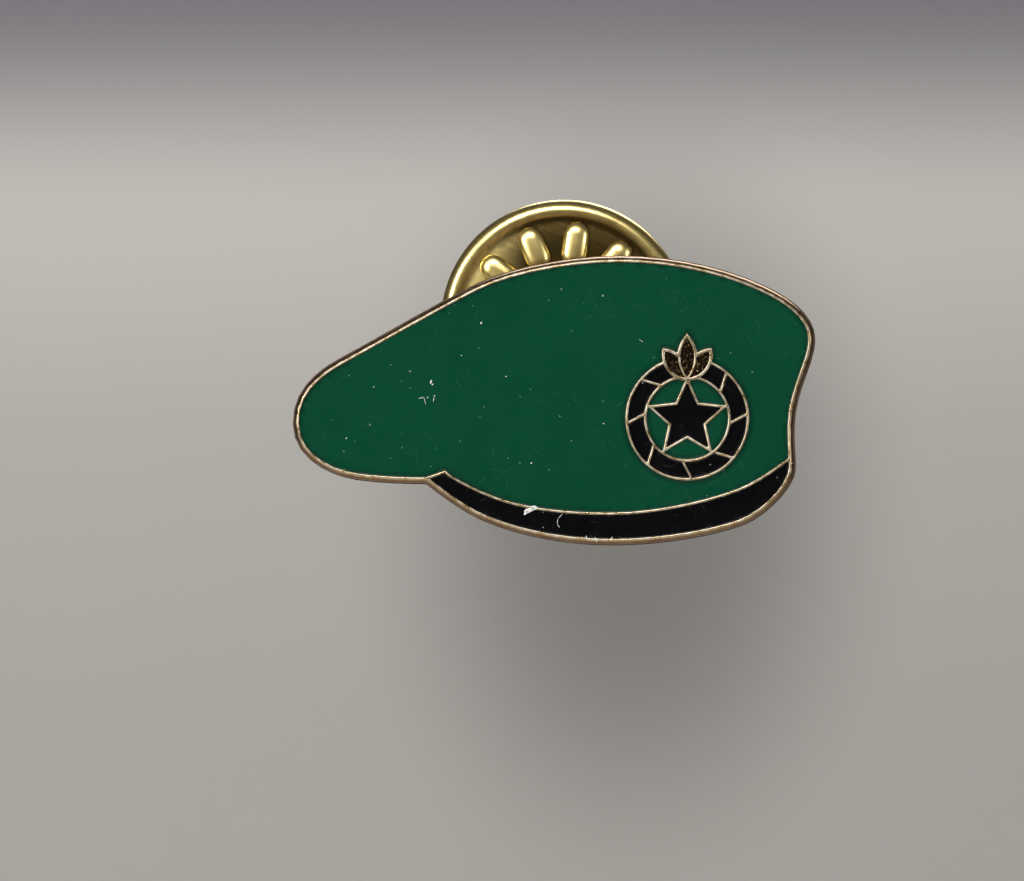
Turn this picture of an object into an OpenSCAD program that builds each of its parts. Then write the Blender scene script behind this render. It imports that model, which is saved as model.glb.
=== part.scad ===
// Enamelled lapel badge in the shape of a military beret, with a tack post
// and a spring-loaded butterfly clutch. Millimetres, +Z up as worn.
// The origin is on the tack post's axis, on the badge's flat back. The face
// looks along -Y, and the post and clutch stand out along +Y.

/* [Badge] */
// Overall width of the beret outline
badge_w = 25; // [21:0.5:31]
// Overall height of the beret outline
badge_h = 13.86; // [11.5:0.1:17]
// Thickness from the flat back to the top of the raised metal lines
badge_t = 1.5; // [1.2:0.1:2.2]
// Width of the raised outer rim, with its rounded edge
rim_w = 0.32; // [0.28:0.02:0.5]
// Width of the raised metal lines between the enamel cells
line_w = 0.11; // [0.1:0.01:0.2]
// Depth of the cells that hold the enamel
cell_depth = 0.4; // [0.3:0.05:0.6]
// How far the enamel lies below the top of the metal lines
enamel_drop = 0.08; // [0.04:0.01:0.15]
// Radius that the die leaves in the corners of the cells
cell_corner_r = 0.05; // [0.02:0.01:0.08]
// How far the front edge is rounded in from the outline
edge_round = 0.22; // [0.12:0.02:0.26]
// How deep the rounding of the front edge goes
edge_depth = 0.5; // [0.3:0.05:0.7]
// Step round the back edge that the die leaves
back_step = 0.12; // [0.06:0.02:0.2]

/* [Emblem] */
// Outside diameter of the emblem's ring
ring_d = 5.9; // [4.8:0.1:7.2]
// Width of the ring's band, with its two metal lines
ring_band = 1.0; // [0.8:0.05:1.25]
// Number of enamel cells round the ring
ring_cells = 8; // [6:1:10]
// Slant of the lines between the ring's cells, in degrees
ring_slant = 28; // [0:2:36]
// Radius of the star's inner corners, as a share of its points' radius
star_waist = 0.47; // [0.4:0.01:0.55]
// Length of the middle leaf of the sprig
leaf_l = 2.15; // [1.8:0.05:2.6]
// Width of each leaf of the sprig
leaf_w = 0.86; // [0.7:0.02:1.05]
// Angle between neighbouring leaves
leaf_fan = 38; // [28:1:44]
// Width of the raised line round each leaf
leaf_line = 0.1; // [0.06:0.01:0.12]
// Depth of the stippled ground inside the leaves
leaf_depth = 0.12; // [0.08:0.01:0.2]

/* [Tack post] */
// Diameter of the post's straight shank
post_d = 1.15; // [0.95:0.05:1.4]
// Length of the post from the badge's back to its point
post_l = 7.4; // [7:0.1:7.5]
// Diameter of the post's flat head
head_d = 4.0; // [3.2:0.1:4.8]
// Thickness of the post's flat head
head_t = 0.35; // [0.25:0.05:0.5]
// Depth of the two grooves that the spring snaps into
groove_depth = 0.18; // [0.16:0.01:0.22]
// Distance between the two grooves
groove_pitch = 1.0; // [0.8:0.05:1.2]
// Width of the solder fillet round the head
solder_w = 0.3; // [0.2:0.05:0.4]

/* [Clutch] */
// Outside diameter of the clutch's base
clutch_d = 12; // [9.5:0.25:14]
// Gap that the cloth takes, from the badge's back to the clutch's base
cloth_gap = 3.8; // [3.6:0.1:3.95]
// Thickness of the clutch's sheet brass
sheet_t = 0.3; // [0.25:0.05:0.35]
// Height of the rolled bead round the base
bead_h = 1.1; // [0.9:0.05:1.3]
// Number of embossed ribs on the base
rib_count = 12; // [8:1:12]
// Width of each embossed rib
rib_w = 1.25; // [0.95:0.05:1.35]
// Height of each embossed rib
rib_h = 0.35; // [0.2:0.05:0.45]
// Height of the bridge's top above the base's front face
bridge_h = 4.2; // [4.1:0.1:4.8]
// Width of the bridge across the wings
bridge_w = 4.2; // [4:0.1:4.6]
// Length of the bridge between the outsides of its end walls
bridge_l = 5.2; // [5.0:0.1:6]
// Distance from the clutch's axis to each wing's tip
wing_reach = 5.7; // [5.2:0.1:6.5]
// Height of the wing tips above the base's front face
wing_h = 5.8; // [5.2:0.1:6.6]
// Widest part of each wing
wing_w = 6.0; // [5:0.1:7]
// Radius on the outside of the bridge's bends
bend_r = 0.7; // [0.4:0.05:0.9]
// Diameter of the spring wire
wire_d = 0.5; // [0.4:0.05:0.55]

/* [Hidden] */
star_points = 5;
$fn = 64;

eps = 0.01;
curve_steps = 7;      // straight pieces in each Bezier span of the outline
edge_steps = 3;       // steps that make up the rounded front edge
ring_fn = 96;         // sides of the emblem's circles

// The outline is drawn for a badge of this size and scaled to badge_w, badge_h.
drawn_w = 25;
drawn_h = 13.86;
outline_scale = [badge_w / drawn_w, badge_h / drawn_h];

// Knots of the beret outline, clockwise as seen from the front: place, then
// the direction that the curve arrives in and leaves in, in degrees, then the
// lengths of its two handles.
outline_knots = [
    [[-12.8, -4.85],      90,    90,  1.7,  1.8],   // nose of the crown's fall
    [[-10.35, -1.62],   28.5,  28.5,  1.2,  2.0],   // start of the long slope
    [[-4.05, 1.82],     26.5,  26.5,  2.0,  1.8],   // end of the long slope
    [[2.85, 3.18],         0,     0,  2.4,  2.4],   // highest point
    [[9.75, 1.75],       -25,   -25,  2.2,  1.5],   // shoulder
    [[12.2, -0.85],      -90,   -90, 1.15,  1.1],   // back of the crown
    [[11.21, -5.0],      -91,   -91,  1.7,  0.9],   // waist above the band
    [[11.27, -7.0],      -90,   -90,  0.6,  0.9],   // end of the headband
    [[8.75, -9.72],     -160,  -160,  1.1,  1.6],   // underside of the headband
    [[2.55, -10.68],     180,   180,  2.2,  2.6],   // lowest point
    [[-3.65, -9.52],     157,   157,  1.6,  1.1],   // front of the headband
    [[-6.4, -7.75],      142,   180,  0.8,  0.9],   // notch where band meets crown
    [[-9.75, -7.55],     172,   172,  1.2,  1.2]    // underside of the crown's fall
];

// Knots of the line between the crown and the headband, from left to right.
band_line_knots = [
    [[-6.85, -7.62],      12,    12,  0.1,  0.3],
    [[-5.5, -7.16],       20,   -38,  0.3,  0.7],
    [[-2.05, -8.72],     -13,   -13,  1.4,  1.3],
    [[2.35, -9.16],        0,     0,  1.6,  2.2],
    [[8.55, -8.02],       21,    21,  1.6,  1.2],
    [[11.75, -5.9],       40,    40,  0.9,  0.1]
];

emblem_at = [6.1 * outline_scale.x, -4.62 * outline_scale.y];
ring_r = ring_d / 2;
window_r = ring_r - ring_band;           // inside edge of the ring's inner line
point_turn = 360 / star_points;
star_r = window_r + line_w / 2;
sprig_sink = 0.1;                        // how far the sprig's foot lies inside the window
sprig_at = emblem_at + [0, window_r - sprig_sink];
sprig_margin = line_w * 0.4;             // metal round the leaves' raised lines
side_leaf_share = 0.86;                  // length of a side leaf, as a share of the middle one
floor_y = -(badge_t - cell_depth);       // bottom of the cells
enamel_t = cell_depth - enamel_drop;

post_r = post_d / 2;
groove_r = post_r - groove_depth;
grip_gap = 0.02;                         // play between the wire and the groove
wire_r = wire_d / 2;
wire_u = groove_r + grip_gap + wire_r;   // each wire leg's distance from the axis
wire_clear = 0.02;                       // gap between the wire and the base's plate
wire_t = sheet_t + wire_r + wire_clear;  // each wire leg's height above the base's face
groove_play = 0.1;                       // how much wider a groove is than the wire
groove_w = wire_d + groove_play;
groove_flank = 0.08;                     // slope at each end of a groove
shank_margin = 0.2;                      // the shank tapers from this far before the clutch
post_taper = 0.04;                       // radius lost per mm beyond the straight shank
tip_r = 0.05;

bead_r = bead_h / 2;
bead_centre = [clutch_d / 2 - bead_r, bead_r];
hole_gap = 0.15;                         // clearance between the post and the clutch's hole
hole_r = post_r + hole_gap;
hole_lead = 0.35;                        // width of the hole's lead-in at the front
lead_depth = sheet_t * 0.7;
rib_margin = clutch_d / 12;              // from the ribs' outer ends to the clutch's edge
rib_out = clutch_d / 2 - rib_margin;
rib_l = clutch_d * 0.1875;               // length of each rib
rib_in = rib_out - rib_l;
rib_end_steps = 6;                       // straight pieces in each rounded rib end
rib_phase = 8.5;                          // turn of the ribs from the bridge, in degrees

pivot_u = 1.35;                          // wing pivots, from the clutch's axis
pivot_t = 2.4;                           // and above the base's front face
knuckle_r = 0.3;
knuckle_gap = 0.04;                      // radial play of a knuckle in the bridge
knuckle_proud = 0.5;                     // the bridge's holes are cut this far past its walls
wing_gap = 0.1;                          // side play of a wing between the end walls
prong_gap = 0.18;                        // clearance between the post and a prong
prong_w = 0.55;
prong_in = post_r + prong_gap;           // each prong runs along Z from here
prong_out = prong_in + prong_w;          // to here
prong_u = wing_gap + sheet_t / 2;        // middle of a prong, between post axis and wire
prong_clear = 0.2;                       // gap between a prong's end and the base's plate
prong_low = sheet_t + prong_clear;
foot_l = 0.9;                            // how far each of the bridge's feet turns out
spring_gap = 0.15;                       // gap between the wire's bend and the end wall
leg_gap = 0.3;                           // gap between the wire's ends and the end wall
web_step = 0.5;                          // from the prongs' middle to the start of the web
flare_out = 0.25;                        // the wing widens this far beyond the bridge
flare_l = 1.0;                           // length over which it widens
ear_r = 1.1;                             // corner radius of the ear
tip_share = 0.94;                        // width of the ear at its tip, as a share

// The right wing's section, from a prong's end to the wing's tip: place, then
// directions and handle lengths as for the outline.
wing_knots = [
    [[prong_u, prong_low],                            90, 90, 0.1, 0.2],
    [[prong_u, 1.15],                                 90, 90, 0.2, 0.45],
    [[pivot_u, pivot_t],                              22, 22, 0.45, 0.4],
    [[bridge_w / 2 + 0.7, pivot_t + 0.45],            52, 52, 0.35, 0.6],
    [[wing_reach - 1.7, wing_h - 1.15],               56, 56, 0.6, 0.55],
    [[wing_reach + 0.2, wing_h],                       8,  8, 0.6, 0.1]
];

// ---- curves ----

function heading(a) = [cos(a), sin(a)];

// A point on the cubic curve with ends p0, p3 and handles p1, p2.
function cubic(p0, p1, p2, p3, s) =
    pow(1 - s, 3) * p0 + 3 * s * pow(1 - s, 2) * p1
    + 3 * s * s * (1 - s) * p2 + pow(s, 3) * p3;

// The points from knot a up to, but not at, knot b.
function span(a, b, steps) = [for (i = [0:steps - 1])
    cubic(a[0], a[0] + a[4] * heading(a[2]), b[0] - b[3] * heading(b[1]), b[0], i / steps)];

function closed_curve(knots) = [for (i = [0:len(knots) - 1])
    each span(knots[i], knots[(i + 1) % len(knots)], curve_steps)];

function open_curve(knots) = concat(
    [for (i = [0:len(knots) - 2]) each span(knots[i], knots[i + 1], curve_steps)],
    [knots[len(knots) - 1][0]]);

function scaled(points) = [for (p = points) [p.x * outline_scale.x, p.y * outline_scale.y]];

// The two sides of a strip of width w that follows a list of points.
function side(points, w) = [for (i = [0:len(points) - 1])
    let (a = points[max(i - 1, 0)], b = points[min(i + 1, len(points) - 1)],
         d = (b - a) / norm(b - a))
    points[i] + w * [-d.y, d.x]];

function reversed(list) = [for (i = [len(list) - 1:-1:0]) list[i]];

function strip(points, w) = concat(side(points, w / 2), reversed(side(points, -w / 2)));

// ---- flat shapes of the face, drawn in X and Z ----

module beret_outline() polygon(scaled(closed_curve(outline_knots)));

// Everything below the line between crown and headband.
module below_band_line() {
    line = scaled(open_curve(band_line_knots));
    polygon(concat(line, [[2 * badge_w, -badge_h], [0, -2 * badge_h], [-badge_w, -badge_h]]));
}

// Rounds the corners of a cell as the die does.
module die_rounded() offset(r = cell_corner_r, $fn = 20) offset(delta = -cell_corner_r) children();

module inside_rim() offset(r = -rim_w, $fn = 32) beret_outline();

module star(r) polygon([for (i = [0:2 * star_points - 1])
    (i % 2 == 0 ? r : r * star_waist) * heading(90 + point_turn / 2 * i)]);

// A pointed leaf that grows from the origin along +Y: two arcs through its ends.
module leaf(l, w) {
    arc_r = (l * l + w * w) / (4 * w);
    intersection_for (s = [-1, 1])
        translate([s * (arc_r - w / 2), l / 2]) circle(r = arc_r, $fn = 160);
}

// The sprig's i-th leaf: -1 at the left, 0 in the middle and in front, 1 at the right.
module sprig_leaf(i) translate(sprig_at) rotate(-i * leaf_fan)
    leaf(leaf_l * (i == 0 ? 1 : side_leaf_share), leaf_w);

module sprig() for (i = [-1:1]) sprig_leaf(i);

// The stippled ground of the i-th leaf, inside its raised line.
module leaf_ground(i) difference() {
    offset(delta = -leaf_line) sprig_leaf(i);
    if (i != 0) sprig_leaf(0);
}

// The emblem's whole footprint, which the crown's enamel runs round.
module emblem_footprint() {
    translate(emblem_at) circle(r = ring_r, $fn = ring_fn);
    offset(delta = sprig_margin) sprig();
}

module crown_cell() die_rounded() difference() {
    inside_rim();
    offset(delta = line_w / 2) below_band_line();
    emblem_footprint();
}

module headband_cell() die_rounded() intersection() {
    inside_rim();
    offset(delta = -line_w / 2) below_band_line();
}

// One slanted line between two cells of the ring.
module ring_divider(i) rotate(360 / ring_cells * (i - 1) + 90)
    translate([ring_r - ring_band / 2, 0]) rotate(ring_slant)
        square([3 * ring_band, line_w], center = true);

// The i-th wedge of the ring, between two dividers.
module ring_sector(i) {
    reach = 2 * ring_r;
    a0 = 360 / ring_cells * (i - 1) + 90;
    a1 = a0 + 360 / ring_cells;
    mid = ring_r - ring_band / 2;
    polygon([
        mid * heading(a0) - ring_band * heading(a0 + ring_slant),
        mid * heading(a0) + ring_band * heading(a0 + ring_slant),
        reach * heading(a0 + 0.25 * (a1 - a0)),
        reach * heading(a0 + 0.75 * (a1 - a0)),
        mid * heading(a1) + ring_band * heading(a1 + ring_slant),
        mid * heading(a1) - ring_band * heading(a1 + ring_slant)]);
}

module ring_cell(i) die_rounded() difference() {
    translate(emblem_at) intersection() {
        difference() {
            circle(r = ring_r - line_w, $fn = ring_fn);
            circle(r = window_r + line_w, $fn = ring_fn);
            ring_divider(i);
            ring_divider(i + 1);
        }
        ring_sector(i);
    }
    offset(delta = sprig_margin) sprig();
}

module star_cell() die_rounded() translate(emblem_at)
    offset(delta = -line_w) star(star_r);

// The green window between two points of the star.
module window_cell(i) die_rounded() difference() {
    translate(emblem_at) intersection() {
        circle(r = window_r, $fn = ring_fn);
        polygon([[0, 0], ring_d * heading(90 + point_turn * i), ring_d * heading(90 + point_turn * (i + 1))]);
    }
    translate(emblem_at) star(star_r);
    for (k = [0, 1]) translate(emblem_at) rotate(90 + point_turn * (i + k))
        square([ring_d, line_w], center = true);
    offset(delta = sprig_margin) sprig();
}

// ---- pieces of the badge ----

// Extrudes a flat shape from y = back towards the face by t.
module forward(back, t) translate([0, back, 0]) rotate([90, 0, 0]) linear_extrude(t) children();

module pocket() forward(floor_y, cell_depth + eps) children();

// The blank before its cells are struck: a back step, then layers that round the front edge.
module struck_body() {
    forward(0, badge_t / 2) offset(delta = -back_step) beret_outline();
    for (i = [0:edge_steps]) {
        depth = edge_depth * pow(i / edge_steps, 2);
        inset = edge_round * (1 - sqrt(1 - pow(1 - depth / edge_depth, 2)));
        forward(-back_step, badge_t - back_step - depth) offset(delta = -inset) beret_outline();
    }
}

module badge_blank() color("goldenrod") difference() {
    struck_body();
    pocket() crown_cell();
    pocket() headband_cell();
    pocket() star_cell();
    for (i = [1:ring_cells]) pocket() ring_cell(i);
    for (i = [1:star_points]) pocket() window_cell(i);
    for (i = [-1:1]) forward(leaf_depth - badge_t, leaf_depth + eps) leaf_ground(i);
}

module enamel(paint) color(paint) forward(floor_y, enamel_t) children();

// Turns the profile [distance from the axis, distance along +Y] about the Y axis.
module turned() rotate([-90, 0, 0]) rotate_extrude() children();

module tack_post() {
    grooves = [cloth_gap + wire_t, cloth_gap + wire_t + groove_pitch];
    straight_end = cloth_gap - shank_margin;
    point_from = grooves[1] + groove_w;
    color("gold") turned() polygon(concat(
        [[0, 0], [head_d / 2, 0], [head_d / 2, head_t], [post_r, head_t], [post_r, straight_end]],
        [for (g = grooves) each [
            [post_r - post_taper * (g - groove_w / 2 - straight_end), g - groove_w / 2],
            [groove_r, g - groove_w / 2 + groove_flank],
            [groove_r, g + groove_w / 2 - groove_flank],
            [post_r - post_taper * (g + groove_w / 2 - straight_end), g + groove_w / 2]]],
        [[post_r - post_taper * (point_from - straight_end), point_from],
         [tip_r, post_l], [0, post_l]]));
}

module solder_fillet() color("silver") turned() polygon(concat(
    [[head_d / 2, 0]],
    [for (a = [0:15:90]) [head_d / 2 + solder_w * (1 - sin(a)), head_t * 0.8 * (1 - cos(a))]]));

// ---- pieces of the clutch, drawn with t = 0 on the base's front face ----

module on_clutch() translate([0, cloth_gap, 0]) children();

// A slot with round ends that runs out from r = from to r = to.
module rib_outline(w, from, to) {
    polygon(concat(
        [for (i = [0:rib_end_steps]) [from + w / 2, 0] + w / 2 * heading(90 + 180 * i / rib_end_steps)],
        [for (i = [0:rib_end_steps]) [to - w / 2, 0] + w / 2 * heading(-90 + 180 * i / rib_end_steps)]));
}

module clutch_base() color("gold") on_clutch() difference() {
    union() {
        turned() difference() {
            union() {
                translate([hole_r, 0]) square([bead_centre.x - hole_r, sheet_t]);
                translate(bead_centre) circle(r = bead_r, $fn = 24);
            }
            translate(bead_centre) circle(r = bead_r - sheet_t, $fn = 10);
            translate([bead_centre.x - bead_r - eps, sheet_t])
                square([bead_r + eps, bead_h - 2 * sheet_t]);
        }
        for (i = [0:rib_count - 1]) rotate([-90, 360 / rib_count * i + rib_phase, 0])
            translate([0, 0, -rib_h]) linear_extrude(rib_h + sheet_t / 2) rib_outline(rib_w, rib_in, rib_out);
    }
    for (i = [0:rib_count - 1]) rotate([-90, 360 / rib_count * i + rib_phase, 0])
        linear_extrude(sheet_t + eps) rib_outline(rib_w - 2 * sheet_t, rib_in + sheet_t, rib_out - sheet_t);
    turned() polygon([[0, -eps], [hole_r + hole_lead, -eps], [hole_r, lead_depth], [0, lead_depth]]);
}

// Extrudes a section drawn in [X, t] along Z by w, centred on the clutch's axis.
module across(w) translate([0, 0, -w / 2]) linear_extrude(w) children();

// The outline in [t, z] of an arch with two rounded bends at the top.
module arch(half_z, top, r) offset(r = r, $fn = 32)
    translate([-2 * r, r - half_z]) square([top + r, 2 * (half_z - r)]);

module clutch_bridge() {
    wall_z = bridge_l / 2;
    color("gold") on_clutch() difference() {
        translate([-bridge_w / 2, 0, 0]) rotate([90, 0, 90]) linear_extrude(bridge_w) {
            difference() {
                arch(wall_z, bridge_h, bend_r);
                arch(wall_z - sheet_t, bridge_h - sheet_t, bend_r - sheet_t);
                translate([-bridge_h, -bridge_l]) square([bridge_h + sheet_t, 2 * bridge_l]);
            }
            for (s = [-1, 1]) translate([sheet_t, s * (wall_z + (foot_l - sheet_t) / 2)])
                translate([0, -(foot_l + sheet_t) / 2]) square([sheet_t, foot_l + sheet_t]);
        }
        for (s = [-1, 1]) translate([s * pivot_u, pivot_t, 0])
            cylinder(r = knuckle_r + knuckle_gap, h = bridge_l + 2 * knuckle_proud, center = true);
    }
}

// A U of round wire whose two legs lie in the post's groove, one on each side.
module clutch_spring() {
    bend_z = -(bridge_l / 2 - sheet_t - spring_gap - wire_r - wire_u);
    leg_end = bridge_l / 2 - sheet_t - leg_gap;
    color("gainsboro") on_clutch() translate([0, wire_t, 0]) {
        for (s = [-1, 1]) translate([s * wire_u, 0, bend_z]) cylinder(r = wire_r, h = leg_end - bend_z);
        translate([0, 0, bend_z]) rotate([90, 0, 0]) rotate([0, 0, 180])
            rotate_extrude(angle = 180) translate([wire_u, 0]) circle(r = wire_r);
    }
}

// The wing's outline in [X, Z]: two prongs, a web between the bridge's walls, an ear.
module wing_plan() {
    web = bridge_l / 2 - sheet_t - wing_gap;
    web_from = prong_u + web_step;
    flare = bridge_w / 2 + flare_out;
    ear = wing_w / 2;
    for (s = [-1, 1]) translate([0, (s - 1) / 2 * (prong_in + prong_out) + prong_in])
        square([web_from + 0.1, prong_out - prong_in]);
    translate([web_from, -web]) square([flare - web_from + 0.1, 2 * web]);
    offset(r = ear_r, $fn = 48) offset(delta = -ear_r)
        polygon([[flare - ear_r, -web], [flare, -web], [flare + flare_l, -ear],
                 [wing_reach, -ear * tip_share],
                 [wing_reach, ear * tip_share], [flare + flare_l, ear], [flare, web], [flare - ear_r, web]]);
}

module wing() on_clutch() {
    intersection() {
        across(wing_w + 1) polygon(strip(open_curve(wing_knots), sheet_t));
        rotate([90, 0, 0]) translate([0, 0, -wing_h - 1]) linear_extrude(wing_h + 2) wing_plan();
    }
    translate([pivot_u, pivot_t, 0]) cylinder(r = knuckle_r, h = bridge_l, center = true);
}

module wing_right() color("gold") wing();

module wing_left() color("gold") mirror([1, 0, 0]) wing();

badge_blank();
enamel("darkgreen") crown_cell();  // crown_enamel
enamel("black") headband_cell();  // headband_enamel
enamel("black") star_cell();  // star_enamel
for (i = [1:ring_cells])
    enamel("black") ring_cell(i);
for (i = [1:star_points])
    enamel("darkgreen") window_cell(i);
tack_post();
solder_fillet();
clutch_base();
clutch_bridge();
clutch_spring();
wing_left();
wing_right();
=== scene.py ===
"""Enamelled lapel badge in the shape of a beret, on a tack post with a butterfly clutch.

Every piece is modelled in millimetres around the part's own origin and turned
to metres when it is finished. The face looks along -Y and +Z is up as worn.
"""
import math
import random

import bmesh
import bpy
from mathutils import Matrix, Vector
from mathutils.kdtree import KDTree


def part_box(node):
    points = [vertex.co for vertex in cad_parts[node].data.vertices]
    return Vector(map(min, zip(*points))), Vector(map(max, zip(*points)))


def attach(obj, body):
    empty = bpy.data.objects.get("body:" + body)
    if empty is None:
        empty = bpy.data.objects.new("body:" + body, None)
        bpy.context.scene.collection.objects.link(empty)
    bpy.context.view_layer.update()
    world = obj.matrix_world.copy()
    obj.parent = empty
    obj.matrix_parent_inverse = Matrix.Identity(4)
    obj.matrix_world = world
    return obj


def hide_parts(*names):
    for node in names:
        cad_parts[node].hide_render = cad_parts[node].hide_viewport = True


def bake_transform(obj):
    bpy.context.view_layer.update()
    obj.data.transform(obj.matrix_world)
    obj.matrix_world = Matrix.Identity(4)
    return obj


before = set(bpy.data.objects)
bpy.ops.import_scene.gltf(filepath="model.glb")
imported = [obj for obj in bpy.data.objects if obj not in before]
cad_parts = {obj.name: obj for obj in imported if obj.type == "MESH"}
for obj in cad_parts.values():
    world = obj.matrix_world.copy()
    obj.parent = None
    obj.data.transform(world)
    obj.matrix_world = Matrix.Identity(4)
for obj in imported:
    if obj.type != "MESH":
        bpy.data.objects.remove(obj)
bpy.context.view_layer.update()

bl_info = {
    "name": "Enamel Lapel Badge",
    "version": (1, 0, 0),
    "blender": (4, 5, 0),
    "location": "View3D > Sidebar > Badge",
    "description": "Builds an enamelled beret badge, its tack post and its butterfly clutch",
    "category": "Add Mesh",
}

MM = 0.001                      # metres in a millimetre
RING = sorted(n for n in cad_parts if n.startswith("ring_enamel_"))
WINDOWS = sorted(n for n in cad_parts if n.startswith("window_enamel_"))


def linear(code):
    """A six-digit sRGB hex colour as linear red, green and blue."""
    parts = [int(code[i:i + 2], 16) / 255 for i in (0, 2, 4)]
    return tuple(c / 12.92 if c <= 0.04045 else ((c + 0.055) / 1.055) ** 2.4 for c in parts)


def box_mm(*nodes):
    """Lowest and highest corner of some CAD nodes together, in millimetres."""
    corners = [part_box(n) for n in nodes]
    low = Vector(min(c[0][k] for c in corners) for k in range(3))
    high = Vector(max(c[1][k] for c in corners) for k in range(3))
    return low / MM, high / MM


FRONT = box_mm("badge_blank")[0].y            # plane of the raised metal lines
ENAMEL = box_mm("crown_enamel")[0].y          # front of the enamel
FLOOR = box_mm("crown_enamel")[1].y           # bottom of the enamel's cells
RING_LOW, RING_HIGH = box_mm(*RING)
EMBLEM = (RING_LOW + RING_HIGH) / 2           # middle of the emblem's ring
SIDE = FRONT + 0.5                            # where the rounded edge meets the side
LINE_LIMIT = FRONT + 0.045                    # deeper than the lines' tops, above the rim's first ledge
STAIR_FROM = FRONT + 0.05                     # the rim's stepped edge starts below this
SHEET = 0.3                                   # thickness of the clutch's pressed sheet
PLATE_FRONT = box_mm("clutch_bridge")[0].y - SHEET    # front of the clutch base's plate
PLATE_EDGE = 5.45                             # where the plate meets the bead, from the axis


# ---------------------------------------------------------------- modelling

def only(*pieces):
    """Selects these objects and nothing else; the first is the active one."""
    if bpy.context.object and bpy.context.object.mode != "OBJECT":
        bpy.ops.object.mode_set(mode="OBJECT")
    bpy.ops.object.select_all(action="DESELECT")
    for piece in pieces:
        piece.select_set(True)
    bpy.context.view_layer.objects.active = pieces[0]


def edit(piece):
    """Opens one piece in edit mode with everything selected."""
    only(piece)
    bpy.ops.object.mode_set(mode="EDIT")
    bpy.ops.mesh.select_mode(type="VERT")
    bpy.ops.mesh.select_all(action="SELECT")


def choose(piece, kind, rule):
    """Selects only the vertices, edges or faces of the open mesh that the rule accepts."""
    bpy.ops.mesh.select_mode(type=kind)
    bpy.ops.mesh.select_all(action="DESELECT")
    mesh = bmesh.from_edit_mesh(piece.data)
    mesh.normal_update()
    found = [e for e in {"VERT": mesh.verts, "EDGE": mesh.edges, "FACE": mesh.faces}[kind] if rule(e)]
    for element in found:
        element.select_set(True)
    mesh.select_flush_mode()
    bmesh.update_edit_mesh(piece.data)
    return len(found)


def copy_of(node, name):
    """A merged copy of a CAD node's shape, in millimetres, open in edit mode."""
    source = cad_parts[node]
    only(source)
    bpy.ops.object.duplicate()
    piece = bpy.context.active_object
    piece.name = name
    piece.parent = None
    for key in [k for k in piece.keys() if k.startswith("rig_")]:
        del piece[key]
    piece.data.materials.clear()
    only(piece)
    bpy.ops.mesh.customdata_custom_splitnormals_clear()
    edit(piece)
    bpy.ops.transform.resize(value=(1 / MM,) * 3, center_override=(0, 0, 0))
    bpy.ops.mesh.remove_doubles(threshold=0.004)
    bpy.ops.mesh.dissolve_limited(angle_limit=math.radians(0.5))
    bpy.ops.mesh.mark_sharp(clear=True)
    return piece


def sharp(edge, degrees=30):
    return len(edge.link_faces) == 2 and edge.calc_face_angle(0) > math.radians(degrees)


def move_points(piece, rule, place):
    """Moves each vertex that the rule accepts to place(vertex)."""
    mesh = bmesh.from_edit_mesh(piece.data)
    mesh.normal_update()
    for vertex, spot in [(v, place(v)) for v in mesh.verts if rule(v)]:
        vertex.co = spot
    bmesh.update_edit_mesh(piece.data)


def refine(piece, rule, longest, rounds):
    """Splits the accepted faces until no edge is much longer than the limit, in mm."""
    choose(piece, "FACE", rule)
    bpy.ops.mesh.quads_convert_to_tris()
    for _ in range(rounds):
        if not choose(piece, "EDGE", lambda e: e.calc_length() > longest and all(map(rule, e.link_faces))):
            break
        bpy.ops.mesh.subdivide(number_cuts=1)
        choose(piece, "FACE", rule)
        bpy.ops.mesh.quads_convert_to_tris()


def round_edges(piece, rule, size, segments=3):
    """Rounds the edges that the rule accepts."""
    if choose(piece, "EDGE", rule):
        bpy.ops.mesh.bevel(offset=size, segments=segments, profile=0.5, affect="EDGES",
                           clamp_overlap=True)


def finish_piece(piece, body, material, replaced=(), smooth=35, bend=None):
    """Turns a piece to metres, shades it, and hands it to its body. A piece that bends is only
    fixed in place, not handed to a body; its second body and where the bend starts and ends, in mm, are not
    used."""
    edit(piece)
    bpy.ops.transform.resize(value=(MM,) * 3, center_override=(0, 0, 0))
    only(piece)
    bpy.ops.object.shade_smooth_by_angle(angle=math.radians(smooth))
    piece.data.materials.append(material)
    if bend:
        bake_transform(piece)
    else:
        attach(piece, body)
    if replaced:
        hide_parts(*replaced)


# ---------------------------------------------------------------- materials

def add(tree, kind, inputs, output=0, **settings):
    """Adds one node with its settings, sets or links its inputs, and returns one output.

    The inputs are a list in the sockets' order, or a dict by their names or numbers.
    """
    made = tree.nodes.new("ShaderNode" + kind)
    for key, value in settings.items():
        setattr(made, key, value)
    for key, value in inputs.items() if isinstance(inputs, dict) else enumerate(inputs):
        socket = made.inputs[key]
        if isinstance(value, bpy.types.NodeSocket):
            tree.links.new(value, socket)
        else:
            socket.default_value = (*value, 1) if socket.type == "RGBA" else value
    return made.outputs[output]


def new_material(name):
    """An empty material with its Principled shader and its object coordinates."""
    material = bpy.data.materials.new(name)
    material.use_nodes = True
    tree = material.node_tree
    return material, tree, tree.nodes["Principled BSDF"], add(tree, "TexCoord", [], "Object")


def per_mm(size):
    """Pattern scale, in repeats per metre, for a pattern that repeats every size millimetres."""
    return 1 / (size * MM)


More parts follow.
